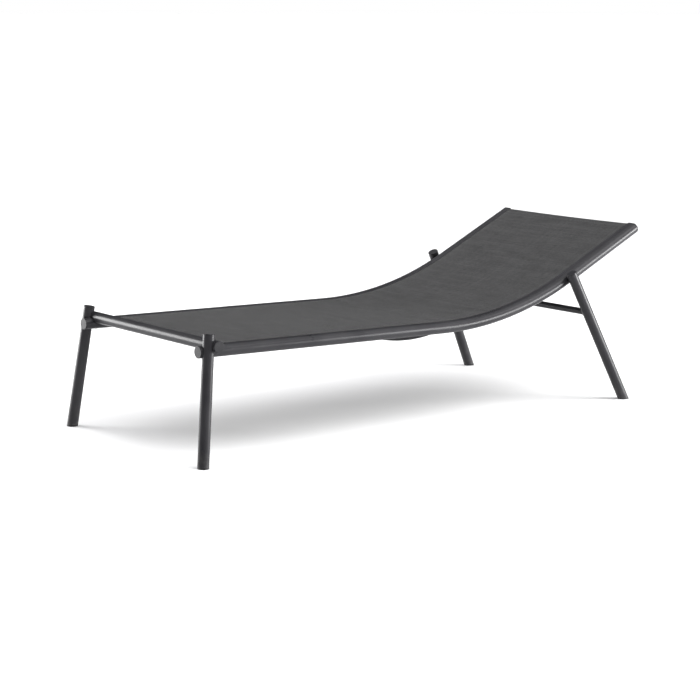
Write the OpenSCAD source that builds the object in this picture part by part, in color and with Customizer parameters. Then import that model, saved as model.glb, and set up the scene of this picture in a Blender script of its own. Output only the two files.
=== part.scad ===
// Fixed-form sun lounger: two bent side rails with a stretched mesh sling on four splayed tube legs.
// The head end points along +X, the floor is z = 0 and the lounger is symmetric about y = 0.
// Left is the -Y side and right is the +Y side, as the person who lies on it sees them.

/* [Bed] */
// Length of the side rails along the floor
bed_length = 2000; // [1900:10:2050]
// Distance between the side rails' axes
rail_spacing = 700; // [620:10:760]
// Height of the side rails' axes at the foot end
foot_height = 368; // [340:1:400]
// Fall of the side rails from the foot end to the seat, in degrees
seat_fall = 1.36; // [0.5:0.02:3]
// Length of the straight part of the side rails, from the foot end to the bend
seat_length = 1050; // [1000:10:1080]
// Bend from the seat up to the back, in degrees: each choice has a sine and a cosine of six digits
bend_angle = 26.511473; // [24.178203, 25.342540, 26.511473, 27.055669]
// Radius of the bend, at the rail's axis
bend_radius = 1360; // [1200:5:1400]

/* [Tubes] */
// Outer diameter of the side rails
rail_d = 40; // [38:1:42]
// Outer diameter of the legs and of the front cross tube
leg_d = 39; // [37:1:40]
// Outer diameter of the stretcher between the rear legs
stretcher_d = 24; // [20:1:28]
// Outer diameter of the bowed bars that hold the rails apart
spreader_d = 20; // [16:1:22]
// Wall thickness of all tubes
wall = 2; // [1.8:0.1:2.2]

/* [Legs] */
// Distance from the foot end to the front legs, at rail height
front_leg_x = 27; // [26:1:30]
// Lean of the front legs towards the foot end, in degrees
front_rake = 7.2; // [5:0.1:9]
// Height of the front legs' tops
front_top = 426; // [422:1:436]
// Distance from the foot end to the rear legs, at rail height
rear_leg_x = 1650; // [1640:5:1670]
// Lean of the rear legs towards the head end, in degrees
rear_rake = 26.6; // [22:0.1:28]
// Height of the rear legs' tops
rear_top = 493; // [488:1:500]
// Sideways lean of all legs, in degrees
splay = 5.4; // [4:0.1:7]

/* [Cross members] */
// Distance that each front corner tube is let into its neighbour, axis to axis
lap = 20; // [19:0.5:21]
// Length of the front cross tube with its end caps
cross_length = 801; // [796:1:812]
// Height of the rear stretcher's axis
stretcher_z = 342; // [320:1:360]
// Distance from the foot end to the seat spreader bar, along the rails
seat_spreader = 1025; // [980:5:1030]
// Distance from the head end to the head spreader bar, along the rails
head_spreader = 110; // [80:5:150]
// Depth of the bow in the spreader bars
spreader_bow = 75; // [60:1:85]

/* [Sling] */
// Thickness of the sling
sling_t = 1.6; // [1.2:0.1:1.8]
// Distance from the foot end to the sling's foot edge
sling_start = 75; // [74:1:85]
// Diameter of the keder cord in each edge of the sling
keder_d = 7.6; // [7:0.1:8]

/* [Hidden] */

$fn = 64;
arc_fn = 360;
LEFT = -1;
RIGHT = 1;
big = 3000;
// How far a cut runs past what it cuts
overcut = 1;

frame_colour = "#3c3d40";
fabric_colour = "#5c5d60";
plastic_colour = "#2e2f31";
steel_colour = "#a9abb0";

rail_r = rail_d / 2;
leg_r = leg_d / 2;
rail_y = rail_spacing / 2;

// Gaps between parts that meet
joint_gap = 0.25;
slide_gap = 0.2;

// Bend of the side rails, in the XZ plane
back_slope = bend_angle - seat_fall;
bend_x = seat_length * cos(seat_fall);
bend_z = foot_height - seat_length * sin(seat_fall);
bend_cx = bend_x + bend_radius * sin(seat_fall);
bend_cz = bend_z + bend_radius * cos(seat_fall);
back_x = bend_cx + bend_radius * sin(back_slope);
back_z = bend_cz - bend_radius * cos(back_slope);
back_length = (bed_length - back_x) / cos(back_slope);

function rail_z(x) =
    x < bend_x ? foot_height - x * tan(seat_fall)
    : x > back_x ? back_z + (x - back_x) * tan(back_slope)
    : bend_cz - sqrt(pow(bend_radius, 2) - pow(x - bend_cx, 2));

// Keder channel on the upper inner side of each rail, measured from the rail's axis
channel_in = 21.3;
channel_up = 12.1;
channel_r = 7.5;
channel_bore_r = 5;
channel_start = 73;
slot_w = 3.4;
slot_angle = 45;
web_top = 19;
web_top_in = 4;
web_foot_in = 10;
sling_up = 17.8;

// Leg axes: a point that each axis passes at rail height, and its direction per unit of height
rear_clearance = 0.3;
rear_offset = rail_r + leg_r + rear_clearance;
front_lean = [tan(front_rake), -tan(splay), 1];
rear_lean = [-tan(rear_rake), -tan(splay), 1];
front_pass = [front_leg_x, rail_y + lap, rail_z(front_leg_x)];
rear_pass = [rear_leg_x, rail_y + rear_offset / cos(splay), rail_z(rear_leg_x)];

function at_height(pass, lean, z) = pass + lean * (z - pass.z);

cross_z = rail_z(front_leg_x) + lap;
cross_x = at_height(front_pass, front_lean, cross_z).x + lap;

// End caps and glides
cap_flange = 3;
cap_edge = 1.2;
cap_spigot = 18;
cross_cap_spigot = 5;
head_cap_flange = 9;
head_cap_edge = 6;
channel_cap_drop = 1;
glide_h = 6;
glide_spigot = 34;

// M6 countersunk screws and their threaded inserts
screw_d = 6;
screw_head_d = 12;
screw_head_h = 3;
screw_hole_d = 6.4;
screw_hex = 4;
screw_hex_depth = 2.2;
corner_screw_length = 33;
rear_screw_length = 52;
insert_d = 9;
insert_length = 12;
insert_play = 0.05;

// The origin is on the floor below the middle of the whole lounger
front_foot = at_height(front_pass, front_lean, 0);
front_foot_reach = leg_r * sqrt(1 + pow(tan(front_rake), 2));
head_cap_reach = head_cap_edge + (head_cap_flange - head_cap_edge) * cos(back_slope)
    + (rail_r - head_cap_edge) * sin(back_slope);
x_low = front_foot.x - front_foot_reach;
x_high = bed_length + head_cap_reach;
x_middle = (x_low + x_high) / 2;

module in_frame() {
    translate([-x_middle, 0, 0]) children();
}

// Moves a child that is drawn for the right side to the given side
module on_side(side) {
    mirror([0, side == LEFT ? 1 : 0, 0]) children();
}

// ---- Outlines across the rail: x is sideways from the rail's axis, y is square to the bed ----

// The right rail's inner side is at -x
module channel_place() {
    translate([-channel_in, channel_up]) children();
}

module rail_outline() {
    circle(rail_r);
    channel_place() circle(channel_r);
    web_outline();
}

module web_outline() {
    polygon([
        [-web_top_in, 0], [-web_top_in, web_top], [-channel_in, web_top],
        [-channel_in, channel_up], [-web_foot_in, 0]]);
}

module slot_outline() {
    channel_place() rotate(180 - slot_angle) translate([0, -slot_w / 2]) square([channel_r * 2, slot_w]);
}

module channel_rail_outline() {
    difference() {
        rail_outline();
        circle(rail_r - wall);
        channel_place() circle(channel_bore_r);
        slot_outline();
    }
}

module tube_outline(r) {
    difference() {
        circle(r);
        circle(r - wall);
    }
}

// The sling's edges fold down into the slots of both rails
module sling_outline() {
    half_t = sling_t / 2;
    fold = [rail_y - channel_in - (sling_up - channel_up) / tan(slot_angle), sling_up];
    mitre = half_t * tan(slot_angle / 2);
    tail = (sling_up - channel_up) / sin(slot_angle) - keder_d / 2 - slide_gap;
    tip = fold + tail * [cos(slot_angle), -sin(slot_angle)];
    side = half_t * [sin(slot_angle), cos(slot_angle)];
    half = [fold + [mitre, half_t], tip + side, tip - side, fold - [mitre, half_t]];
    polygon(concat(half, [for (i = [3:-1:0]) [-half[i].x, half[i].y]]));
}

module keder_outline() {
    channel_place() circle(keder_d / 2);
}

// ---- Runs along the bed ----
// The bed's own frame has its origin at the start of the bend, +X along the seat and +Z square to it

module in_bed() {
    translate([bend_x, 0, bend_z]) rotate([0, seat_fall, 0]) children();
}

// Puts what is drawn at the bed's origin where the back starts, in line with the back
module at_back() {
    translate([0, 0, bend_radius]) rotate([0, -bend_angle, 0]) translate([0, 0, -bend_radius]) children();
}

module run(length) {
    rotate([90, 0, 90]) linear_extrude(length) children();
}

// Straight run along the seat, between two distances from the foot end
module seat_run(from, to) {
    translate([from - seat_length, 0, 0]) run(to - from) children();
}

// The revolved bend is made too long, and cut where the back starts
module bend_run() {
    spare_angle = 1;
    difference() {
        translate([0, 0, bend_radius])
            rotate([90, 90, 0])
                rotate_extrude(angle = bend_angle + spare_angle, $fn = arc_fn)
                    translate([bend_radius, 0]) mirror([1, 0]) rotate(-90) children();
        at_back() translate([0, -big / 2, -big / 2]) cube(big);
    }
}

module bed_run(from) {
    seat_run(from, seat_length) children();
    bend_run() children();
    at_back() run(back_length) children();
}

// ---- Tubes and hardware in their own frames ----

// Turns +Z onto a direction, with no twist about it
module along(direction) {
    tilt = atan2(norm([direction.x, direction.y]), direction.z);
    heading = atan2(direction.y, direction.x);
    rotate([0, tilt, heading]) rotate(-heading) children();
}

module leg_axis(foot, lean) {
    translate(foot) along(lean) children();
}

// Disc with a rounded rim, standing on z = 0
module rounded_disc(r, h, edge) {
    steps = 6;
    rim = [
        for (i = [0:steps])
            let (turn = 90 * i / steps)
                [r - edge + edge * cos(turn), h - edge + edge * sin(turn)]];
    rotate_extrude() polygon(concat([[0, 0], [r, 0]], rim, [[0, h]]));
}

// Push-in end cap: the flange covers the tube's end and the spigot sits in its bore
module end_cap(r, spigot, flange = cap_flange, edge = cap_edge) {
    rounded_disc(r, flange, edge);
    translate([0, 0, -spigot]) cylinder(h = spigot, r = r - wall - slide_gap);
}

// Countersunk screw, its head's face at z = 0 and its shank along -Z
module screw(length) {
    difference() {
        union() {
            translate([0, 0, -length]) cylinder(h = length - screw_head_h, d = screw_d);
            translate([0, 0, -screw_head_h]) cylinder(h = screw_head_h, d1 = screw_d, d2 = screw_head_d);
        }
        translate([0, 0, -screw_hex_depth])
            cylinder(h = 2 * screw_hex_depth, d = screw_hex / cos(30), $fn = 6);
    }
}

// Clearance for a screw through a tube, with its countersink and the way in for its head
module screw_clearance(depth) {
    mouth_d = screw_head_d + 2 * slide_gap;
    translate([0, 0, -depth]) cylinder(h = depth, d = screw_hole_d);
    translate([0, 0, -screw_head_h]) cylinder(h = screw_head_h, d1 = screw_hole_d, d2 = mouth_d);
    cylinder(h = screw_head_h, d = mouth_d);
}

// Threaded sleeve in a tube's wall, its mouth at z = 0 and its body along -Z
module insert() {
    difference() {
        translate([0, 0, -insert_length]) cylinder(h = insert_length, d = insert_d);
        translate([0, 0, -insert_length - overcut])
            cylinder(h = insert_length + 2 * overcut, d = screw_d + 2 * insert_play);
    }
}

module insert_hole() {
    translate([0, 0, -insert_length - overcut])
        cylinder(h = insert_length + 2 * overcut, d = insert_d + 2 * insert_play);
}

// ---- Places of the screws on the right side ----

// Up through the underside of the rail into the cross tube
module rail_screw_place() {
    translate([cross_x, rail_y, rail_z(cross_x) - rail_r]) rotate([180, 0, 0]) children();
}

rail_insert_depth = rail_r + cross_z - leg_r - rail_z(cross_x);

// Forwards through the back of the cross tube into the front leg
leg_screw_rise = 1;
leg_screw_z = cross_z + leg_screw_rise;
leg_screw_at = at_height(front_pass, front_lean, leg_screw_z);

module leg_screw_place() {
    translate([cross_x + leg_r, leg_screw_at.y, leg_screw_z]) rotate([0, 90, 0]) children();
}

leg_insert_depth = cross_x - leg_screw_at.x;

// Outwards through the inner side of the rail, below its channel, into the rear leg
rear_screw_drop = 5;
rear_screw_sink = 1;
rear_screw_seat = rail_r - rear_screw_sink;
rear_screw_at = rear_pass - rear_lean * rear_screw_drop;

module rear_screw_place() {
    translate([rear_screw_at.x, rail_y - rear_screw_seat, rear_screw_at.z]) rotate([90, 0, 0]) children();
}

rear_insert_depth = rear_screw_at.y - rail_y + rear_screw_seat - leg_r;

// ---- Sub-parts ----

module side_rail(side) {
    color(frame_colour) in_frame() on_side(side) difference() {
        in_bed() translate([0, rail_y, 0]) {
            seat_run(cap_flange, channel_start) tube_outline(rail_r);
            bed_run(channel_start) channel_rail_outline();
        }
        cross_envelope(joint_gap);
        rail_screw_place() screw_clearance(rail_d);
        rear_screw_place() screw_clearance(rail_d + 2 * overcut);
    }
}

module cross_envelope(gap) {
    translate([cross_x, -big / 2, cross_z]) rotate([-90, 0, 0]) cylinder(h = big, r = leg_r + gap);
}

module rail_envelope(gap) {
    in_bed() translate([0, rail_y, 0]) seat_run(-rail_d, 2 * rail_d + lap) circle(rail_r + gap);
}

module leg_envelope(foot, lean, gap) {
    leg_axis(foot, lean) cylinder(h = big / 4, r = leg_r + gap);
}

module front_cross_tube() {
    tube_length = cross_length - 2 * cap_flange;
    color(frame_colour) in_frame() difference() {
        translate([cross_x, -tube_length / 2, cross_z])
            rotate([-90, 0, 0])
                linear_extrude(tube_length) tube_outline(leg_r);
        for (side = [LEFT, RIGHT]) on_side(side) {
            leg_envelope(front_foot, front_lean, joint_gap);
            rail_screw_place() translate([0, 0, -rail_insert_depth]) insert_hole();
            leg_screw_place() screw_clearance(leg_d);
        }
    }
}

// The space round a leg's foot that is lower than a height
module below(foot, height) {
    width = 4 * leg_d;
    translate([foot.x - width / 2, foot.y - width / 2, height - big]) cube([width, width, big]);
}

// Tube of a leg, from the glide to the top cap
module leg_tube(foot, lean, top) {
    leg_length = top * norm(lean) - cap_flange;
    difference() {
        leg_axis(foot, lean) {
            translate([0, 0, -leg_d]) linear_extrude(leg_length + leg_d) tube_outline(leg_r);
        }
        below(foot, glide_h);
    }
}

module front_leg(side) {
    color(frame_colour) in_frame() on_side(side) difference() {
        leg_tube(front_foot, front_lean, front_top);
        rail_envelope(joint_gap);
        leg_screw_place() translate([0, 0, -leg_insert_depth]) insert_hole();
    }
}

rear_foot = at_height(rear_pass, rear_lean, 0);

module rear_leg(side) {
    color(frame_colour) in_frame() on_side(side) difference() {
        leg_tube(rear_foot, rear_lean, rear_top);
        rear_screw_place() translate([0, 0, -rear_insert_depth]) insert_hole();
    }
}

module rear_stretcher() {
    half = at_height(rear_pass, rear_lean, stretcher_z);
    color(frame_colour) in_frame() difference() {
        translate([half.x, -half.y, stretcher_z])
            rotate([-90, 0, 0])
                linear_extrude(2 * half.y) tube_outline(stretcher_d / 2);
        for (side = [LEFT, RIGHT]) on_side(side) leg_envelope(rear_foot, rear_lean, joint_gap);
    }
}

// Bowed bar between the rails' axes, drawn about the origin with its bow along -Z
module bowed_bar() {
    bow_r = (pow(rail_y, 2) + pow(spreader_bow, 2)) / (2 * spreader_bow);
    half_angle = asin(rail_y / bow_r);
    difference() {
        translate([0, 0, bow_r - spreader_bow])
            rotate([0, 90, 0])
                rotate([0, 0, -half_angle])
                    rotate_extrude(angle = 2 * half_angle, $fn = arc_fn)
                        translate([bow_r, 0]) tube_outline(spreader_d / 2);
        for (side = [LEFT, RIGHT])
            translate([-leg_d, side * rail_y, 0])
                rotate([0, 90, 0])
                    cylinder(h = 2 * leg_d, r = rail_r + joint_gap);
    }
}

module seat_spreader_bar() {
    color(frame_colour) in_frame()
        in_bed() translate([seat_spreader - seat_length, 0, 0]) bowed_bar();
}

module head_spreader_bar() {
    color(frame_colour) in_frame()
        in_bed() at_back() translate([back_length - head_spreader, 0, 0]) bowed_bar();
}

module sling() {
    color(fabric_colour) in_frame() in_bed() bed_run(sling_start) sling_outline();
}

module keder_cord(side) {
    color(plastic_colour) in_frame() on_side(side)
        in_bed() translate([0, rail_y, 0]) bed_run(sling_start) keder_outline();
}

module rail_foot_cap(side) {
    color(plastic_colour) in_frame() on_side(side)
        in_bed() translate([cap_flange - seat_length, rail_y, 0])
            rotate([0, -90, 0]) end_cap(rail_r, cap_spigot);
}

// Rounded plug that covers the tube and its keder channel
module rail_head_cap(side) {
    color(plastic_colour) in_frame() on_side(side)
        in_bed() at_back() translate([back_length, rail_y, 0]) rotate([90, 0, 90]) {
            end_cap(rail_r, cap_spigot, head_cap_flange, head_cap_edge);
            channel_place() rounded_disc(channel_r, head_cap_flange - channel_cap_drop, head_cap_edge);
            linear_extrude(head_cap_flange - head_cap_edge + channel_cap_drop) web_outline();
        }
}

module cross_tube_cap(side) {
    color(plastic_colour) in_frame() on_side(side)
        translate([cross_x, cross_length / 2 - cap_flange, cross_z])
            rotate([-90, 0, 0]) end_cap(leg_r, cross_cap_spigot);
}

module leg_cap(side, foot, lean, top) {
    color(plastic_colour) in_frame() on_side(side)
        leg_axis(foot, lean)
            translate([0, 0, top * norm(lean) - cap_flange]) end_cap(leg_r, cap_spigot);
}

// Plastic foot, cut level on the floor, with a spigot up the leg's bore
module glide(side, foot, lean) {
    spigot_r = leg_r - wall - slide_gap;
    color(plastic_colour) in_frame() on_side(side) difference() {
        leg_axis(foot, lean) translate([0, 0, -leg_d]) cylinder(h = leg_d + glide_spigot, r = leg_r);
        below(foot, 0);
        difference() {
            below(foot, glide_h + big);
            below(foot, glide_h);
            leg_axis(foot, lean) translate([0, 0, -leg_d]) cylinder(h = big, r = spigot_r);
        }
    }
}

module corner_screws() {
    color(steel_colour) in_frame()
        for (side = [LEFT, RIGHT]) on_side(side) {
            rail_screw_place() screw(corner_screw_length);
            leg_screw_place() screw(corner_screw_length);
        }
}

module rear_leg_screws() {
    color(steel_colour) in_frame()
        for (side = [LEFT, RIGHT]) on_side(side) rear_screw_place() screw(rear_screw_length);
}

module threaded_inserts() {
    color(steel_colour) in_frame()
        for (side = [LEFT, RIGHT]) on_side(side) {
            rail_screw_place() translate([0, 0, -rail_insert_depth]) insert();
            leg_screw_place() translate([0, 0, -leg_insert_depth]) insert();
            rear_screw_place() translate([0, 0, -rear_insert_depth]) insert();
        }
}

side_rail(LEFT);  // side_rail_left
side_rail(RIGHT);  // side_rail_right
front_cross_tube();
front_leg(LEFT);  // front_leg_left
front_leg(RIGHT);  // front_leg_right
rear_leg(LEFT);  // rear_leg_left
rear_leg(RIGHT);  // rear_leg_right
rear_stretcher();
seat_spreader_bar();
head_spreader_bar();
sling();
keder_cord(LEFT);  // keder_cord_left
keder_cord(RIGHT);  // keder_cord_right
rail_foot_cap(LEFT);  // rail_foot_cap_left
rail_foot_cap(RIGHT);  // rail_foot_cap_right
rail_head_cap(LEFT);  // rail_head_cap_left
rail_head_cap(RIGHT);  // rail_head_cap_right
cross_tube_cap(LEFT);  // cross_tube_cap_left
cross_tube_cap(RIGHT);  // cross_tube_cap_right
leg_cap(LEFT, front_foot, front_lean, front_top);  // front_leg_cap_left
leg_cap(RIGHT, front_foot, front_lean, front_top);  // front_leg_cap_right
leg_cap(LEFT, rear_foot, rear_lean, rear_top);  // rear_leg_cap_left
leg_cap(RIGHT, rear_foot, rear_lean, rear_top);  // rear_leg_cap_right
glide(LEFT, front_foot, front_lean);  // front_glide_left
glide(RIGHT, front_foot, front_lean);  // front_glide_right
glide(LEFT, rear_foot, rear_lean);  // rear_glide_left
glide(RIGHT, rear_foot, rear_lean);  // rear_glide_right
corner_screws();
rear_leg_screws();
threaded_inserts();
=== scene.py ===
import math

import bmesh
import bpy
import numpy as np
from mathutils import Matrix, Vector
from mathutils.bvhtree import BVHTree
from mathutils.geometry import convex_hull_2d


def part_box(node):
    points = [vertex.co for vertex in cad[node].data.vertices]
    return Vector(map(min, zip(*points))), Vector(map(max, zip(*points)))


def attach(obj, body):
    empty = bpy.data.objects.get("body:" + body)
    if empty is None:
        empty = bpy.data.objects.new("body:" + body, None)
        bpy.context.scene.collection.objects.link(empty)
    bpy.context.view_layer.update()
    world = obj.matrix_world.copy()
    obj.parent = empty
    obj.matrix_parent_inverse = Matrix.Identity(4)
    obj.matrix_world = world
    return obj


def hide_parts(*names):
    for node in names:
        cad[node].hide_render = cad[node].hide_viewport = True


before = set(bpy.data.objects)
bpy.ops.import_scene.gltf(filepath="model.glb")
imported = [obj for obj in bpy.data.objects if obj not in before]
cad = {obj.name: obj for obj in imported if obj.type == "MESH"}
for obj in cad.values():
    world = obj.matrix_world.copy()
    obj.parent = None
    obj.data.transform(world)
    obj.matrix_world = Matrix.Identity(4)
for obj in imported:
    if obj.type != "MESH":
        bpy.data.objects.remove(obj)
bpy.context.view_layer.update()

MM = 0.001
SIDES = (("left", -1), ("right", 1))


# ---- Camera, lights and floor -------------------------------------------------
# Lengths in metres and angles in degrees; the lens and its sensor in millimetres, as Blender has them.

CAMERA_AT = Vector((-4.4753, -5.4712, 1.4831))
CAMERA_YAW = 38.7596
CAMERA_PITCH = -10.1349
CAMERA_ROLL = 0.3259
CAMERA_LENS = 101.086
SENSOR_W = 36
CLIP_NEAR = 0.05
CLIP_FAR = 200

# The dome's brightness rises from the first level to the second between two sines of the elevation.
DOME_LEVELS = (0.02, 1.75)
DOME_HEIGHTS = (0.5, 1.0)
DOME_TINT = (0.985, 0.985, 1, 1)
WHITE = (1, 1, 1, 1)

FLOOR_REACH = 150


def add_camera():
    data = bpy.data.cameras.new("camera")
    data.lens = CAMERA_LENS
    data.sensor_width = SENSOR_W
    data.clip_start = CLIP_NEAR
    data.clip_end = CLIP_FAR
    camera = bpy.data.objects.new("camera", data)
    yaw, pitch, roll = (math.radians(a) for a in (CAMERA_YAW, CAMERA_PITCH, CAMERA_ROLL))
    turn = Matrix.Rotation(-yaw, 4, "Z") @ Matrix.Rotation(math.pi / 2 + pitch, 4, "X")
    camera.matrix_world = Matrix.Translation(CAMERA_AT) @ turn @ Matrix.Rotation(roll, 4, "Z")
    bpy.context.scene.collection.objects.link(camera)
    bpy.context.scene.camera = camera


def heading(azimuth, elevation):
    """The direction towards an azimuth, counted from +X towards +Y, and an elevation, in degrees."""
    turn, rise = math.radians(azimuth), math.radians(elevation)
    return Vector((math.cos(turn) * math.cos(rise), math.sin(turn) * math.cos(rise), math.sin(rise)))


def add_card(name, azimuth, elevation, distance, size, radiance, target):
    """A softbox that faces the target from a distance."""
    data = bpy.data.lights.new(name, "AREA")
    data.shape = "RECTANGLE"
    data.size, data.size_y = size
    data.energy = radiance * math.pi * size[0] * size[1]
    light = bpy.data.objects.new(name, data)
    away = heading(azimuth, elevation)
    light.location = Vector(target) + away * distance
    light.rotation_mode = "QUATERNION"
    light.rotation_quaternion = away.to_track_quat("Z", "Y")
    light.visible_camera = False
    bpy.context.scene.collection.objects.link(light)


def add_key_light(azimuth, elevation, spread, strength):
    """The main soft light: a wide disc so far away that it lights the whole floor alike."""
    data = bpy.data.lights.new("key", "SUN")
    data.angle = math.radians(spread)
    data.energy = strength
    light = bpy.data.objects.new("key", data)
    light.rotation_mode = "QUATERNION"
    light.rotation_quaternion = heading(azimuth, elevation).to_track_quat("Z", "Y")
    bpy.context.scene.collection.objects.link(light)


def add_lights():
    """A high key, and two low cards for the highlights on the tubes, named by their place in the picture."""
    add_card(
        "left_back", azimuth=124, elevation=8, distance=6.0,
        size=(3.6, 2.6), radiance=18.0, target=(0, 0, 0.35),
    )
    add_key_light(azimuth=-62, elevation=50, spread=42, strength=1.95)
    add_card(
        "right_front", azimuth=-49, elevation=2, distance=5.0,
        size=(2.3, 2.3), radiance=42.0, target=(1.1, 0, 0.4),
    )


def add_world():
    """White for the camera; for light and reflections a dome that is dark below and bright overhead."""
    world = bpy.data.worlds.new("studio")
    bpy.context.scene.world = world
    world.use_nodes = True
    nodes, links = world.node_tree.nodes, world.node_tree.links
    nodes.clear()
    out = nodes.new("ShaderNodeOutputWorld")
    seen = nodes.new("ShaderNodeBackground")
    seen.inputs["Strength"].default_value = 1.0
    seen.inputs["Color"].default_value = WHITE
    fill = nodes.new("ShaderNodeBackground")
    fill.inputs["Color"].default_value = DOME_TINT
    direction = nodes.new("ShaderNodeTexCoord")
    height = nodes.new("ShaderNodeSeparateXYZ")
    level = nodes.new("ShaderNodeMapRange")
    level.interpolation_type = "SMOOTHSTEP"
    for index, value in enumerate((*DOME_HEIGHTS, *DOME_LEVELS)):
        level.inputs[1 + index].default_value = value
    path = nodes.new("ShaderNodeLightPath")
    mix = nodes.new("ShaderNodeMixShader")
    links.new(direction.outputs["Generated"], height.inputs[0])
    links.new(height.outputs["Z"], level.inputs[0])
    links.new(level.outputs[0], fill.inputs["Strength"])
    links.new(path.outputs["Is Camera Ray"], mix.inputs[0])
    links.new(fill.outputs[0], mix.inputs[1])
    links.new(seen.outputs[0], mix.inputs[2])
    links.new(mix.outputs[0], out.inputs[0])


def add_floor(material):
    mesh = bpy.data.meshes.new("floor")
    corners = [(x * FLOOR_REACH, y * FLOOR_REACH, 0) for x, y in ((-1, -1), (1, -1), (1, 1), (-1, 1))]
    mesh.from_pydata(corners, [], [(0, 1, 2, 3)])
    floor = bpy.data.objects.new("floor", mesh)
    mesh.materials.append(material)
    bpy.context.scene.collection.objects.link(floor)


# ---- Materials ----------------------------------------------------------------

class Shader:
    """A material whose nodes are added by short calls."""

    def __init__(self, name, **settings):
        self.material = bpy.data.materials.new(name)
        self.material.use_nodes = True
        self.tree = self.material.node_tree
        self.bsdf = self.tree.nodes["Principled BSDF"]
        for key, value in settings.items():
            self.bsdf.inputs[key.replace("_", " ")].default_value = value

    def node(self, kind, inputs=(), **attributes):
        made = self.tree.nodes.new("ShaderNode" + kind)
        for key, value in attributes.items():
            setattr(made, key, value)
        for key, value in dict(inputs).items():
            self.put(value, made.inputs[key])
        return made

    def put(self, value, socket):
        if isinstance(value, bpy.types.NodeSocket):
            self.tree.links.new(value, socket)
        else:
            socket.default_value = value

    def math(self, operation, *values):
        made = self.node("Math", operation=operation)
        for socket, value in zip(made.inputs, values):
            self.put(value, socket)
        return made.outputs[0]

    def product(self, first, second):
        return self.math("MULTIPLY", first, second)

    def place(self):
        return self.node("TexCoord").outputs["Object"]

    def noise(self, scale, detail, roughness=0.5, vector=None):
        inputs = {"Scale": scale, "Detail": detail, "Roughness": roughness}
        made = self.node("TexNoise", inputs)
        self.tree.links.new(vector or self.place(), made.inputs["Vector"])
        return made.outputs["Fac"]

    def ramp(self, value, source, target=(0.0, 1.0)):
        """Takes the source range to the target range, and holds its ends outside it."""
        inputs = {0: value, 1: source[0], 2: source[1], 3: target[0], 4: target[1]}
        return self.node("MapRange", inputs, clamp=True).outputs[0]

    def blend(self, share, first, second):
        """A mix of two colours, each a socket or its red, green and blue."""
        made = self.node("Mix", data_type="RGBA")
        self.put(share, made.inputs[0])
        for value, socket in ((first, made.inputs[6]), (second, made.inputs[7])):
            self.put((*value, 1) if isinstance(value, tuple) else value, socket)
        return made.outputs[2]

    def scaled(self, colour, factor):
        made = self.node("VectorMath", operation="SCALE")
        self.put(colour, made.inputs[0])
        self.put(factor, made.inputs["Scale"])
        return made.outputs[0]

    def bump(self, height, distance, strength, normal=None):
        made = self.node("Bump", {"Height": height, "Distance": distance, "Strength": strength})
        if normal is not None:
            self.tree.links.new(normal, made.inputs["Normal"])
        return made.outputs[0]

    def set(self, **sockets):
        for key, value in sockets.items():
            self.put(value, self.bsdf.inputs[key.replace("_", " ")])


# A noise lies mostly within NOISE_SPAN. Tones are linear red, green and blue, dark first, and a GLOSS is a
# range of roughness.
NOISE_SPAN = (0.3, 0.7)

FLOOR_TONES = ((0.91, 0.91, 0.91), (0.94, 0.94, 0.94))

COAT_TONES = ((0.0255, 0.0249, 0.0277), (0.0334, 0.0327, 0.0356))
COAT_SPAN = (0.35, 0.65)
COAT_GLOSS = (0.27, 0.35)
FLECK_TONE = (0.065, 0.064, 0.067)
FLECK_SPAN = (0.58, 0.72)
FLECK_SHARE = 0.25
DUST_TONE = (0.22, 0.205, 0.185)
DUST_SPAN = (0.42, 0.72)
DUST_SHARE = 0.16
DUST_ROUGHNESS = 0.25
DUST_HEIGHTS = (90 * MM, 4 * MM)
RUBBED_TONE = (0.13, 0.13, 0.132)
RUBBED_SPAN = (0.5, 0.62)
RUBBED_SHARE = 0.30
RUBBED_HEIGHTS = (16 * MM, 5 * MM)

CAP_TONES = ((0.015, 0.0147, 0.017), (0.021, 0.0207, 0.023))
GLIDE_TONES = ((0.010, 0.010, 0.011), (0.018, 0.0178, 0.019))
CORD_TONES = ((0.010, 0.010, 0.011), (0.014, 0.014, 0.015))
PLASTIC_GLOSS_SPREAD = 0.06

STEEL_TONES = ((0.42, 0.43, 0.45), (0.6, 0.61, 0.62))
STEEL_GLOSS = (0.25, 0.42)

WEAVE_PITCH = 1.25 * MM
WARP_TONES = ((0.0330, 0.0328, 0.0332), (0.0560, 0.0557, 0.0563))
WEFT_TONES = ((0.0560, 0.0557, 0.0563), (0.0890, 0.0885, 0.0894))
WARP_SEED = 0.3
WEFT_SEED = 7.7
YARN_ROUND = 0.55
YARN_FLAT = 0.35
STREAK_SHAPE = (0.3, 1.0, 1.0)
STREAK_SPAN = (0.3, 0.72)
STREAK_GAIN = (0.82, 1.22)
CLOUD_GAIN = (0.88, 1.12)
WELDED_GAIN = 1.07
# Painted shade: where the weave is lowest, in the gaps between yarns, the base colour is darkened to the
# first gain.
PORE_HEIGHTS = (0.05, 0.5)
PORE_SHADE_GAIN = (0.35, 1.0)
CLOTH_SPAN = (0.8, 1.2)
CLOTH_GLOSS = (0.86, 0.72)

THREAD_TONES = ((0.045, 0.0455, 0.047), (0.09, 0.091, 0.094))
THREAD_GLOSS = (0.45, 0.7)


def floor_material():
    shader = Shader("pale_floor", Roughness=0.9, Specular_IOR_Level=0.1)
    tint = shader.ramp(shader.noise(scale=0.7, detail=3), NOISE_SPAN)
    shader.set(Base_Color=shader.blend(tint, *FLOOR_TONES))
    return shader.material


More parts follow.
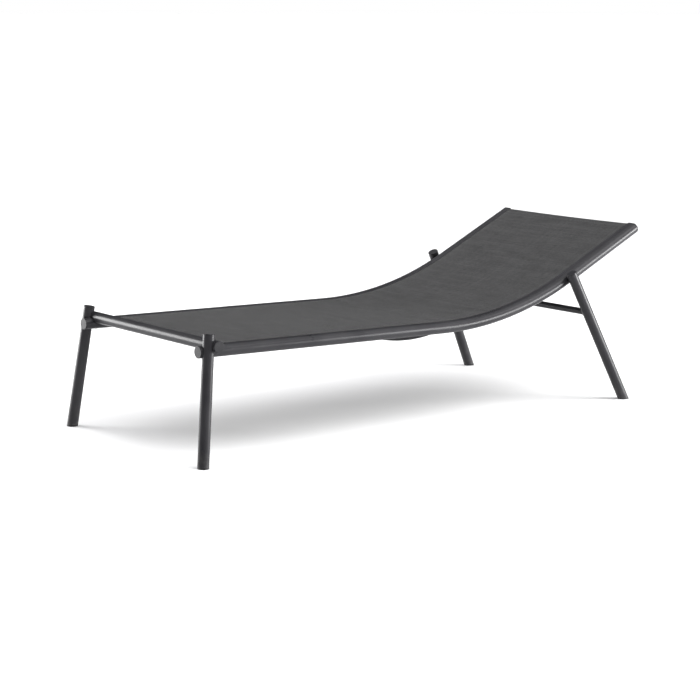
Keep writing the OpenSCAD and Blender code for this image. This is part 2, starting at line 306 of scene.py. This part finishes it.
def powder_coat():
    """Dark powder coat: fine grain over orange peel, uneven gloss, some dust and rubbing near the floor."""
    shader = Shader("powder_coat", Specular_IOR_Level=0.15)
    cloud = shader.noise(scale=9, detail=4)
    fleck = shader.ramp(shader.noise(scale=1400, detail=2), FLECK_SPAN)
    height = shader.node("SeparateXYZ", {0: shader.place()}).outputs["Z"]
    patches = shader.ramp(shader.noise(scale=45, detail=5, roughness=0.65), DUST_SPAN)
    dust = shader.product(shader.ramp(height, DUST_HEIGHTS), patches)
    scuffs = shader.ramp(shader.noise(scale=300, detail=4), RUBBED_SPAN)
    rubbed = shader.product(shader.ramp(height, RUBBED_HEIGHTS), scuffs)
    base = shader.blend(shader.ramp(cloud, COAT_SPAN), *COAT_TONES)
    base = shader.blend(shader.product(fleck, FLECK_SHARE), base, FLECK_TONE)
    base = shader.blend(shader.product(dust, DUST_SHARE), base, DUST_TONE)
    base = shader.blend(shader.product(rubbed, RUBBED_SHARE), base, RUBBED_TONE)
    gloss = shader.ramp(cloud, NOISE_SPAN, COAT_GLOSS)
    grain = shader.bump(shader.noise(scale=1100, detail=2), distance=0.05 * MM, strength=0.6)
    peel = shader.bump(shader.noise(scale=240, detail=2), distance=0.12 * MM, strength=0.55, normal=grain)
    shader.set(
        Base_Color=base,
        Roughness=shader.math("ADD", gloss, shader.product(dust, DUST_ROUGHNESS)),
        Normal=peel,
    )
    return shader.material


def plastic(name, tones, roughness, specular):
    """Moulded plastic with a fine spark-eroded grain."""
    shader = Shader(name, Specular_IOR_Level=specular)
    cloud = shader.noise(scale=60, detail=3)
    gloss = (roughness - PLASTIC_GLOSS_SPREAD, roughness + PLASTIC_GLOSS_SPREAD)
    shader.set(
        Base_Color=shader.blend(cloud, *tones),
        Roughness=shader.ramp(cloud, NOISE_SPAN, gloss),
        Normal=shader.bump(shader.noise(scale=1500, detail=2), distance=0.06 * MM, strength=0.5),
    )
    return shader.material


def cap_plastic():
    return plastic("cap_plastic", CAP_TONES, roughness=0.42, specular=0.19)


def glide_plastic():
    return plastic("glide_plastic", GLIDE_TONES, roughness=0.55, specular=0.3)


def cord_plastic():
    return plastic("cord_plastic", CORD_TONES, roughness=0.35, specular=0.4)


def steel():
    shader = Shader("brushed_steel", Metallic=1.0)
    lines = shader.noise(scale=1200, detail=2)
    shader.set(
        Base_Color=shader.blend(lines, *STEEL_TONES),
        Roughness=shader.ramp(lines, NOISE_SPAN, STEEL_GLOSS),
    )
    return shader.material


def yarn_arch(shader, place, power):
    """The round back of each yarn, at a place counted in yarns."""
    wave = shader.math("ABSOLUTE", shader.math("SINE", shader.product(place, math.pi)))
    return shader.math("POWER", wave, power)


def yarn_colour(shader, number, seed, tones):
    """Each yarn's own tone between two."""
    draw = shader.node("TexWhiteNoise", {"W": shader.math("ADD", number, seed)}, noise_dimensions="1D")
    return shader.blend(draw.outputs[0], *tones)


def cloth_shade(shader, cloth, across, half_width, pocket):
    """Fine streaks, soft clouds and the slightly lighter welded band beside each rail."""
    stretched = shader.node("Mapping", {"Vector": cloth, "Scale": STREAK_SHAPE}).outputs[0]
    fine = shader.noise(scale=260, detail=3, roughness=0.6, vector=stretched)
    wide = shader.noise(scale=26, detail=4, roughness=0.6, vector=stretched)
    streaks = shader.ramp(fine, STREAK_SPAN, STREAK_GAIN)
    cloud = shader.ramp(wide, NOISE_SPAN, CLOUD_GAIN)
    inset = shader.math("SUBTRACT", half_width, shader.math("ABSOLUTE", across))
    welded = shader.ramp(inset, (pocket, pocket - MM), (1.0, WELDED_GAIN))
    return streaks, shader.product(shader.product(streaks, cloud), welded)


def fabric(half_width, pocket):
    """Coated mesh: a plain weave of two-tone yarns, on coordinates in metres across and along the cloth."""
    shader = Shader("mesh_fabric", Specular_IOR_Level=0.05, Sheen_Weight=0.03, Sheen_Roughness=0.45)
    cloth = shader.node("UVMap", uv_map="weave").outputs[0]
    split = shader.node("SeparateXYZ", {0: cloth})
    across = shader.math("DIVIDE", split.outputs["X"], WEAVE_PITCH)
    along = shader.math("DIVIDE", split.outputs["Y"], WEAVE_PITCH)
    warp_number, weft_number = shader.math("FLOOR", across), shader.math("FLOOR", along)
    both = shader.math("ABSOLUTE", shader.math("ADD", warp_number, weft_number))
    over = shader.math("MODULO", both, 2.0)
    warp_pad = shader.product(yarn_arch(shader, across, YARN_ROUND), yarn_arch(shader, along, YARN_FLAT))
    weft_pad = shader.product(yarn_arch(shader, across, YARN_FLAT), yarn_arch(shader, along, YARN_ROUND))
    height = shader.node("Mix", {0: over, 2: warp_pad, 3: weft_pad}).outputs[0]
    warp = yarn_colour(shader, warp_number, WARP_SEED, WARP_TONES)
    weft = yarn_colour(shader, weft_number, WEFT_SEED, WEFT_TONES)
    streaks, shade = cloth_shade(shader, cloth, split.outputs["X"], half_width, pocket)
    # Painted shade: the cloth's colour darkens in the low gaps between the yarns.
    pore_shade = shader.ramp(height, PORE_HEIGHTS, PORE_SHADE_GAIN)
    shader.set(
        Base_Color=shader.scaled(shader.blend(over, warp, weft), shader.product(shade, pore_shade)),
        Roughness=shader.ramp(streaks, CLOTH_SPAN, CLOTH_GLOSS),
        Normal=shader.bump(height, distance=0.25 * MM, strength=0.8),
    )
    return shader.material


def thread():
    shader = Shader("sewing_thread", Specular_IOR_Level=0.3, Sheen_Weight=0.05)
    twist = shader.noise(scale=3000, detail=2)
    shader.set(
        Base_Color=shader.blend(twist, *THREAD_TONES),
        Roughness=shader.ramp(twist, NOISE_SPAN, THREAD_GLOSS),
        Normal=shader.bump(twist, distance=0.1 * MM, strength=0.7),
    )
    return shader.material


# ---- Mesh building --------------------------------------------------------------

def new_piece(name, mesh, material):
    """Adds a mesh as a visible piece of the lounger."""
    piece = bpy.data.objects.new(name, mesh)
    mesh.materials.append(material)
    bpy.context.scene.collection.objects.link(piece)
    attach(piece, "root")
    return piece


def mesh_of(name, work, sharp_angle):
    """A finished mesh: faces outward, smooth except at edges sharper than an angle in degrees."""
    bmesh.ops.recalc_face_normals(work, faces=work.faces)
    mesh = bpy.data.meshes.new(name)
    work.to_mesh(mesh)
    work.free()
    mesh.shade_smooth()
    mesh.set_sharp_from_angle(angle=math.radians(sharp_angle))
    return mesh


def circle(count):
    """Angles evenly spaced round a full turn."""
    return [2 * math.pi * k / count for k in range(count)]


def join_rings(work, rings):
    """Faces between each ring of vertices and the next."""
    for first, second in zip(rings, rings[1:]):
        for a in range(len(first)):
            b = (a + 1) % len(first)
            work.faces.new((first[a], first[b], second[b], second[a]))


SHEET_SHARP = 40


def sheet_faces(row_count, count):
    """Faces of a closed sheet: the upper grid of vertices comes first, then the lower one."""
    under = row_count * count

    def at(i, j, below=0):
        return i * count + j + below * under

    faces = []
    for i in range(row_count - 1):
        for j in range(count - 1):
            faces.append((at(i, j), at(i, j + 1), at(i + 1, j + 1), at(i + 1, j)))
            faces.append((at(i, j, 1), at(i + 1, j, 1), at(i + 1, j + 1, 1), at(i, j + 1, 1)))
    for i in (0, row_count - 1):
        faces += [(at(i, j), at(i, j + 1), at(i, j + 1, 1), at(i, j, 1)) for j in range(count - 1)]
    for j in (0, count - 1):
        faces += [(at(i, j), at(i + 1, j), at(i + 1, j, 1), at(i, j, 1)) for i in range(row_count - 1)]
    return faces


def thick_surface(name, rows, thickness):
    """A closed sheet: rows of (middle point, normal, (u, v)), with half the thickness on each side."""
    vertices, uvs = [], []
    for side in (0.5, -0.5):
        for row in rows:
            for point, normal, uv in row:
                vertices.append(point + normal * (side * thickness))
                uvs.append(uv)
    mesh = bpy.data.meshes.new(name)
    mesh.from_pydata(vertices, [], sheet_faces(len(rows), len(rows[0])))
    layer = mesh.uv_layers.new(name="weave")
    for loop in mesh.loops:
        layer.data[loop.index].uv = uvs[loop.vertex_index]
    work = bmesh.new()
    work.from_mesh(mesh)
    bpy.data.meshes.remove(mesh)
    return mesh_of(name, work, SHEET_SHARP)


# ---- The sling ------------------------------------------------------------------
# A place on it is s along the bed from its foot edge, y across it and h square to it. Metres and degrees.

SPOT_DIGITS = 5


class BedLine:
    """The sling's middle line as the CAD sling has it: straight seat, round bend, straight back."""

    def __init__(self):
        places = [v.co for v in cad["sling"].data.vertices]
        spots = {tuple(round(c, SPOT_DIGITS) for c in (p.y, p.x, p.z)) for p in places}
        inner, outer = sorted({y for y, _, _ in spots if y > 0})[:2]
        lines = [sorted((x, z) for y, x, z in spots if y == side) for side in (inner, outer)]
        middle = (np.array(lines[0]) + np.array(lines[1])) / 2
        self.fold_y = (inner + outer) / 2
        self.start, bend, back, end = middle[0], middle[1], middle[-2], middle[-1]
        self.seat_slope = math.atan2(*(bend - self.start)[::-1])
        self.back_slope = math.atan2(*(end - back)[::-1])
        turn = self.back_slope - self.seat_slope
        self.radius = np.linalg.norm(back - bend) / (2 * math.sin(turn / 2))
        self.centre = bend + self.radius * np.array([-math.sin(self.seat_slope), math.cos(self.seat_slope)])
        self.seat = np.linalg.norm(bend - self.start)
        self.bend = self.radius * turn
        self.back = back
        self.length = self.seat + self.bend + np.linalg.norm(end - back)

    def at(self, s):
        """The point at a distance from the foot edge, with the directions along and square to the bed."""
        if s < self.seat:
            slope = self.seat_slope
            spot = self.start + s * np.array([math.cos(slope), math.sin(slope)])
        elif s < self.seat + self.bend:
            slope = self.seat_slope + (s - self.seat) / self.radius
            spot = self.centre + self.radius * np.array([math.sin(slope), -math.cos(slope)])
        else:
            slope = self.back_slope
            spot = self.back + (s - self.seat - self.bend) * np.array([math.cos(slope), math.sin(slope)])
        along = Vector((math.cos(slope), 0, math.sin(slope)))
        up = Vector((-math.sin(slope), 0, math.cos(slope)))
        return Vector((spot[0], 0, spot[1])), along, up


bed = BedLine()
cord_low, cord_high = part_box("keder_cord_right")
CORD_R = (cord_high.y - cord_low.y) / 2
CORD_Y = (abs(cord_high.y) + abs(cord_low.y)) / 2
CORD_DROP = CORD_Y - bed.fold_y

CLOTH_T = 0.9 * MM
LAYER_GAP = 0.1 * MM
LAYER_STEP = CLOTH_T + LAYER_GAP

SLING_COLUMNS = 66
FINE_STEP = 3 * MM
COARSE_STEP = 12 * MM
FINE_BAND = 36 * MM

FOLD_R = 1.6 * MM
FOLD_LEAD = 3 * MM
FOLD_STEPS = 5
SLOT_NECK = 1.8 * MM
WRAP_FROM = 100
WRAP_TO = -190
WRAP_STEPS = 18

HEM_W = 26 * MM
HEM_ROWS = (5 * MM, 21 * MM)
HEM_COLUMNS = 130
HEM_TURN_STEPS = 9
HEM_STEP = 3 * MM
HEM_LEAD = 2 * MM
HEM_INSET = 1 * MM

POCKET_W = 18 * MM
POCKET_COLUMNS = 5
POCKET_INSET = 0.5 * MM
POCKET_HEM_GAP = 2 * MM

# Puckers fade away from a seam, and their spacing wanders by up to SWAY radians.
SAG = 2.5 * MM
PUCKER = 0.22 * MM
PUCKER_PITCH = 11 * MM
PUCKER_FADE = 7 * MM
PUCKER_SWAY = 1.7
PUCKER_SWAY_RATE = 31

STITCH_L = 4.2 * MM
STITCH_GAP = 0.9 * MM
STITCH_INSET = 4 * MM
STITCH_BULGE = 0.28 * MM
STITCH_SINK = 0.3 * MM
STITCH_STEPS = 5
STITCH_SHARP = 60
THREAD_R = 0.45 * MM
THREAD_SIDES = 6
THREAD_END = 0.45


def sag(s, y):
    """How far the cloth lies above its flat line: it sags between the rails and puckers at the seams."""
    across = min(abs(y) / bed.fold_y, 1)
    low = -SAG * (1 - across ** 2)
    rise = 0
    for edge in (0, bed.length):
        for row in HEM_ROWS:
            away = abs(abs(s - edge) - row)
            wave = math.cos(2 * math.pi * y / PUCKER_PITCH + PUCKER_SWAY * math.sin(y * PUCKER_SWAY_RATE))
            rise += PUCKER * wave * math.exp(-away / PUCKER_FADE)
    return low + rise * (1 - across ** 6)


def on_bed(s, y, h):
    spot, _, up = bed.at(s)
    return spot + Vector((0, y, 0)) + up * (h + sag(s, y))


def rounded_path(corners):
    """Corners of (y, h, radius) as a line of (y, h) points with round corners."""
    path = [np.array(corners[0][:2])]
    for before, corner, after in zip(corners, corners[1:], corners[2:]):
        a, b, c = (np.array(p[:2]) for p in (before, corner, after))
        into, out = (b - a) / np.linalg.norm(b - a), (c - b) / np.linalg.norm(c - b)
        turn = math.acos(max(-1, min(1, float(into @ out))))
        reach = corner[2] * math.tan(turn / 2)
        first, last = b - into * reach, b + out * reach
        for t in np.linspace(0, 1, FOLD_STEPS + 1):
            path.append((1 - t) ** 2 * first + 2 * t * (1 - t) * b + t ** 2 * last)
    path.append(np.array(corners[-1][:2]))
    return path


def pocket_path():
    """From the flat cloth down through the slot, round the keder cord and back up to the slot's mouth."""
    layer = LAYER_STEP / 2
    wrap_r = CORD_R + LAYER_GAP + CLOTH_T / 2
    diagonal = math.sqrt(0.5)
    centre = np.array([CORD_Y, -CORD_DROP])
    mouth = CORD_DROP / diagonal
    neck = wrap_r + SLOT_NECK

    def in_slot(reach, side):
        return centre + diagonal * np.array([-reach + side * layer, reach + side * layer])

    wrap = [
        centre + wrap_r * np.array([math.cos(t), math.sin(t)])
        for t in np.linspace(math.radians(WRAP_FROM), math.radians(WRAP_TO), WRAP_STEPS)
    ]
    fold = in_slot(mouth - layer, 1)
    way_in = rounded_path([(fold[0] - FOLD_LEAD, 0, 0), (*fold, FOLD_R), (*in_slot(neck, 1), 0)])
    way_out = [in_slot(neck, -1), in_slot(mouth - FOLD_R, -1)]
    return way_in + wrap + way_out


def across_path():
    """The whole section across the bed, from one pocket to the other, as (y, h) points."""
    right = pocket_path()
    edge = right[0][0]
    left = [np.array([-p[0], p[1]]) for p in reversed(right)]
    flat = [np.array([y, 0]) for y in np.linspace(-edge, edge, SLING_COLUMNS)[1:-1]]
    return left + flat + right


def steps_along():
    """Distances along the bed, close together near both ends."""
    near = np.arange(0, FINE_BAND, FINE_STEP)
    count = round((bed.length - 2 * FINE_BAND) / COARSE_STEP)
    middle = np.linspace(FINE_BAND, bed.length - FINE_BAND, count)
    return [*near, *middle, *(bed.length - near[::-1])]


def sling_cloth(material):
    path = across_path()
    lengths = np.cumsum([0, *(np.linalg.norm(b - a) for a, b in zip(path, path[1:]))])
    middle = lengths[-1] / 2
    slopes = [path[min(i + 1, len(path) - 1)] - path[max(i - 1, 0)] for i in range(len(path))]
    rows = []
    for s in steps_along():
        _, _, up = bed.at(s)
        row = []
        for (y, h), slope, length in zip(path, slopes, lengths):
            slope = slope / np.linalg.norm(slope)
            normal = Vector((0, -slope[1], 0)) + up * slope[0]
            row.append((on_bed(s, y, h), normal, (length - middle, s)))
        rows.append(row)
    mesh = thick_surface("sling_cloth", rows, CLOTH_T)
    return new_piece("sling_cloth", mesh, material)


def hem_profile():
    """A hem's section: its round edge, then the layer below, as (reach beyond the edge, height) points."""
    layer = LAYER_STEP / 2
    bends = np.linspace(math.pi / 2, -math.pi / 2, HEM_TURN_STEPS)
    turn = [(math.cos(t) * layer, math.sin(t) * layer - layer) for t in bends]
    under = [(-reach, -LAYER_STEP) for reach in np.arange(HEM_LEAD, HEM_W + MM, HEM_STEP)]
    return turn + under


def hem(name, edge, outward, material):
    """The cloth turned under at one end of the bed."""
    profile = hem_profile()
    half = bed.fold_y - HEM_INSET
    spot, along, up = bed.at(edge)
    rows = []
    for y in np.linspace(-half, half, HEM_COLUMNS):
        row, run = [], 0
        for k, (reach, drop) in enumerate(profile):
            before, after = profile[max(k - 1, 0)], profile[min(k + 1, len(profile) - 1)]
            run += math.dist(profile[k], before)
            step = Vector((after[0] - before[0], after[1] - before[1])).normalized()
            normal = along * (outward * -step[1]) + up * step[0]
            place = spot + along * (outward * reach) + up * (drop + sag(edge + outward * min(reach, 0), y))
            row.append((place + Vector((0, y, 0)), normal, (y, edge + outward * run)))
        rows.append(row)
    return new_piece(name, thick_surface(name, rows, CLOTH_T), material)


def pocket_flap(name, side, material):
    """The end of the cloth that comes back from the cord, welded under the sling beside the rail."""
    places = np.linspace(bed.fold_y - POCKET_W, bed.fold_y - POCKET_INSET, POCKET_COLUMNS)
    rows = []
    for s in np.arange(HEM_W + POCKET_HEM_GAP, bed.length - HEM_W, COARSE_STEP):
        _, _, up = bed.at(s)
        rows.append([
            (on_bed(s, side * y, -LAYER_STEP), up, (side * (2 * bed.fold_y - y), s)) for y in places
        ])
    return new_piece(name, thick_surface(name, rows, CLOTH_T), material)


def stitch(work, s, y, face):
    """One stitch on a face of the hem: a short thread that swells and dives at both ends."""
    _, along, up = bed.at(s)
    rings = []
    for t in np.linspace(0, 1, STITCH_STEPS + 1):
        swell = math.sin(math.pi * t)
        lift = math.copysign(STITCH_BULGE, face) * swell
        sink = math.copysign(STITCH_SINK, face) * (1 - swell) ** 2
        radius = THREAD_R * (THREAD_END + (1 - THREAD_END) * swell ** 0.5)
        centre = on_bed(s, y + t * STITCH_L, face + lift - sink)
        rings.append([
            work.verts.new(centre + (along * math.cos(a) + up * math.sin(a)) * radius)
            for a in circle(THREAD_SIDES)
        ])
    join_rings(work, rings)
    work.faces.new(rings[0])
    work.faces.new(rings[-1])


def stitches(name, edge, inward, material):
    """Two rows of lockstitch through a hem, with thread on both faces."""
    work = bmesh.new()
    half = bed.fold_y - STITCH_INSET
    for row in HEM_ROWS:
        for face in (CLOTH_T / 2, -CLOTH_T / 2 - LAYER_STEP):
            for y in np.arange(-half, half - STITCH_L, STITCH_L + STITCH_GAP):
                stitch(work, edge + inward * row, y, face)
    return new_piece(name, mesh_of(name, work, STITCH_SHARP), material)


def add_sling():
    """The cloth with its hems, stitching and pockets."""
    mesh_fabric, sewing_thread = fabric(bed.fold_y, POCKET_W), thread()
    cloth = sling_cloth(mesh_fabric)
    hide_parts("sling")
    trim = [
        hem("sling_hem_foot", 0, -1, mesh_fabric),
        hem("sling_hem_head", bed.length, 1, mesh_fabric),
        stitches("hem_stitching_foot", 0, 1, sewing_thread),
        stitches("hem_stitching_head", bed.length, -1, sewing_thread),
    ]
    trim += [pocket_flap(f"sling_pocket_{name}", side, mesh_fabric) for name, side in SIDES]


# ---- Moulded head caps ------------------------------------------------------------

foot_cap_low, foot_cap_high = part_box("rail_foot_cap_right")
foot_cap = (foot_cap_low + foot_cap_high) / 2
bed_foot, _, foot_up = bed.at(0)
RAIL_Y = foot_cap.y
RAIL_R = (foot_cap_high.y - foot_cap_low.y) / 2
RAIL_DROP = (foot_cap - bed_foot).dot(foot_up)

CAP_SIDES = 120
CAP_BLEND = 5
CAP_OVERLAP = 0.2 * MM
CAP_LIP = 2.5 * MM
CAP_ROUND = 6 * MM
CAP_ROUND_STEPS = 8
CAP_CROWN = 0.5 * MM
CAP_CROWN_RINGS = (0.75, 0.5, 0.25)
# The middle of the cap's outline, from the tube's axis outwards and upwards.
CAP_HUB = Vector((-6 * MM, 4 * MM))
CAP_SHARP = 50
OUTLINE_BACK = 3 * MM


def surface_of(name):
    mesh = cad[name].data
    return BVHTree.FromPolygons([v.co for v in mesh.vertices], [p.vertices for p in mesh.polygons])


def rail_outline(surface, hub, across, up):
    """The outline of a rail and its channel as distances from a hub inside it, with every hollow bridged."""
    ways = np.array([(math.cos(t), math.sin(t)) for t in circle(CAP_SIDES)])
    reach = 3 * RAIL_R
    spots = []
    for way in ways:
        ray = across * way[0] + up * way[1]
        hit = surface.ray_cast(hub + ray * reach, -ray, reach)[0]
        spots.append(way * (hit - hub).length)
    hull = np.array([spots[k] for k in convex_hull_2d([Vector(spot) for spot in spots])])
    edges = np.roll(hull, -1, 0) - hull
    normals = np.stack([edges[:, 1], -edges[:, 0]], 1)
    offsets = (normals * hull).sum(1)
    facing = ways @ (normals * np.sign(offsets)[:, None]).T
    return np.min(np.where(facing > 0, np.abs(offsets) / np.maximum(facing, 1e-12), reach), 1)


def spread(values, reach):
    """Each value of a closed ring averaged with its neighbours."""
    return np.mean([np.roll(values, k) for k in range(-reach, reach + 1)], 0)


def cap_rings(outline):
    """The cap's outlines and their heights: a straight lip, a quarter round and a low crown."""
    edge = spread(outline, 1)
    crest = spread(edge, CAP_BLEND) - CAP_ROUND
    rings = [(edge, -CAP_OVERLAP), (edge, CAP_LIP)]
    for turn in np.linspace(0, math.pi / 2, CAP_ROUND_STEPS + 1)[1:]:
        share = 1 - math.cos(turn)
        rings.append((edge * (1 - share) + crest * share, CAP_LIP + CAP_ROUND * math.sin(turn)))
    for share in CAP_CROWN_RINGS:
        rings.append((crest * share, CAP_LIP + CAP_ROUND + CAP_CROWN * (1 - share ** 2)))
    return rings


def head_cap(name, side, material):
    """A plug whose one smooth dome covers the tube and its keder channel."""
    rail = f"side_rail_{name}"
    start, along, up = bed.at(bed.length)
    end = max(v.co.dot(along) for v in cad[rail].data.vertices)
    axis = start + along * (end - start.dot(along)) + up * RAIL_DROP + Vector((0, side * RAIL_Y, 0))
    across = Vector((0, side, 0))
    hub = axis + across * CAP_HUB.x + up * CAP_HUB.y
    outline = rail_outline(surface_of(rail), hub - along * OUTLINE_BACK, across, up)
    rays = [across * math.cos(t) + up * math.sin(t) for t in circle(CAP_SIDES)]
    work = bmesh.new()
    rings = [
        [work.verts.new(hub + ray * radius + along * height) for ray, radius in zip(rays, radii)]
        for radii, height in cap_rings(outline)
    ]
    join_rings(work, rings)
    for ring, height in ((rings[0], -CAP_OVERLAP), (rings[-1], CAP_LIP + CAP_ROUND + CAP_CROWN)):
        middle = work.verts.new(hub + along * height)
        for a in range(CAP_SIDES):
            work.faces.new((ring[a], ring[(a + 1) % CAP_SIDES], middle))
    cap = new_piece(f"head_cap_{name}", mesh_of(f"head_cap_{name}", work, CAP_SHARP), material)
    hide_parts(f"rail_head_cap_{name}")


# ---- Weld beads -------------------------------------------------------------------

WELD_R = 2.7 * MM
WELD_PITCH = 2.4 * MM
WELD_STEPS = 144
WELD_SIDES = 12
WELD_SHARP = 60
RIPPLE_DEPTH = 0.16
RIPPLE_POWER = 0.6
CONTACT_GAP = 0.6 * MM
CONTACT_STEP = 6


def contact_ring(bar, partner, side):
    """Where a bar's outer wall meets its partner: points in order round the bar, on one side of the bed."""
    surface = surface_of(partner)
    near = [v.co.copy() for v in cad[bar].data.vertices if v.co.y * side > 0]
    near = [p for p in near if surface.find_nearest(p)[3] < CONTACT_GAP]
    middle = sum(near, Vector()) / len(near)
    axis = Vector((0, 1, 0))
    first = axis.orthogonal().normalized()
    second = axis.cross(first)
    outer = {}
    for point in near:
        away = point - middle
        angle = math.atan2(away.dot(second), away.dot(first))
        number = round(angle / math.radians(CONTACT_STEP)) % (360 // CONTACT_STEP)
        reach = math.hypot(away.dot(first), away.dot(second))
        if number not in outer or reach > outer[number][0]:
            outer[number] = (reach, point)
    return [outer[number][1] for number in sorted(outer)]


def even_line(ring):
    """A closed ring of points as evenly spaced and slightly smoothed ones, with its length."""
    lengths = np.cumsum([0, *((b - a).length for a, b in zip(ring, ring[1:] + ring[:1]))])
    closed = np.array([*ring, ring[0]])
    spots = np.linspace(0, lengths[-1], WELD_STEPS, endpoint=False)
    line = np.stack([np.interp(spots, lengths, closed[:, k]) for k in range(3)], 1)
    return (np.roll(line, 1, 0) + 2 * line + np.roll(line, -1, 0)) / 4, lengths[-1]


def weld(name, bar, partner, side, material):
    """A rippled bead round a bar's end."""
    line, length = even_line(contact_ring(bar, partner, side))
    middle = Vector(line.mean(0))
    ripples = round(length / WELD_PITCH)
    work = bmesh.new()
    rings = []
    for k in range(WELD_STEPS):
        spot = Vector(line[k])
        tangent = Vector(line[(k + 1) % WELD_STEPS] - line[k - 1]).normalized()
        out = spot - middle
        out = (out - tangent * out.dot(tangent)).normalized()
        binormal = tangent.cross(out)
        phase = (ripples * k / WELD_STEPS) % 1
        radius = WELD_R * (1 - RIPPLE_DEPTH + RIPPLE_DEPTH * math.sin(math.pi * phase) ** RIPPLE_POWER)
        rings.append([
            work.verts.new(spot + (out * math.cos(t) + binormal * math.sin(t)) * radius)
            for t in circle(WELD_SIDES)
        ])
    join_rings(work, rings + rings[:1])
    new_piece(name, mesh_of(name, work, WELD_SHARP), material)


# ---- CAD nodes ------------------------------------------------------------------

FRAME_NODES = [
    "side_rail_left", "side_rail_right", "front_cross_tube", "front_leg_left", "front_leg_right",
    "rear_leg_left", "rear_leg_right", "rear_stretcher", "seat_spreader_bar", "head_spreader_bar",
]
CAP_NODES = [name for name in cad if "_cap_" in name]
GLIDE_NODES = [name for name in cad if "_glide_" in name]
CORD_NODES = [name for name in cad if name.startswith("keder_cord")]
STEEL_NODES = ["corner_screws", "rear_leg_screws", "threaded_inserts"]


def paint(names, material):
    for name in names:
        slots = cad[name].data.materials
        slots.clear()
        slots.append(material)


# ---- The scene ------------------------------------------------------------------

add_camera()
add_world()
add_floor(floor_material())
add_lights()

coat, cap_material = powder_coat(), cap_plastic()
paint(FRAME_NODES, coat)
paint(CAP_NODES, cap_material)
paint(GLIDE_NODES, glide_plastic())
paint(CORD_NODES, cord_plastic())
paint(STEEL_NODES, steel())

add_sling()
for name, side in SIDES:
    head_cap(name, side, cap_material)
    weld(f"weld_seat_bar_{name}", "seat_spreader_bar", f"side_rail_{name}", side, coat)
    weld(f"weld_head_bar_{name}", "head_spreader_bar", f"side_rail_{name}", side, coat)
    weld(f"weld_stretcher_{name}", "rear_stretcher", f"rear_leg_{name}", side, coat)

bpy.context.scene.view_settings.view_transform = "Standard"
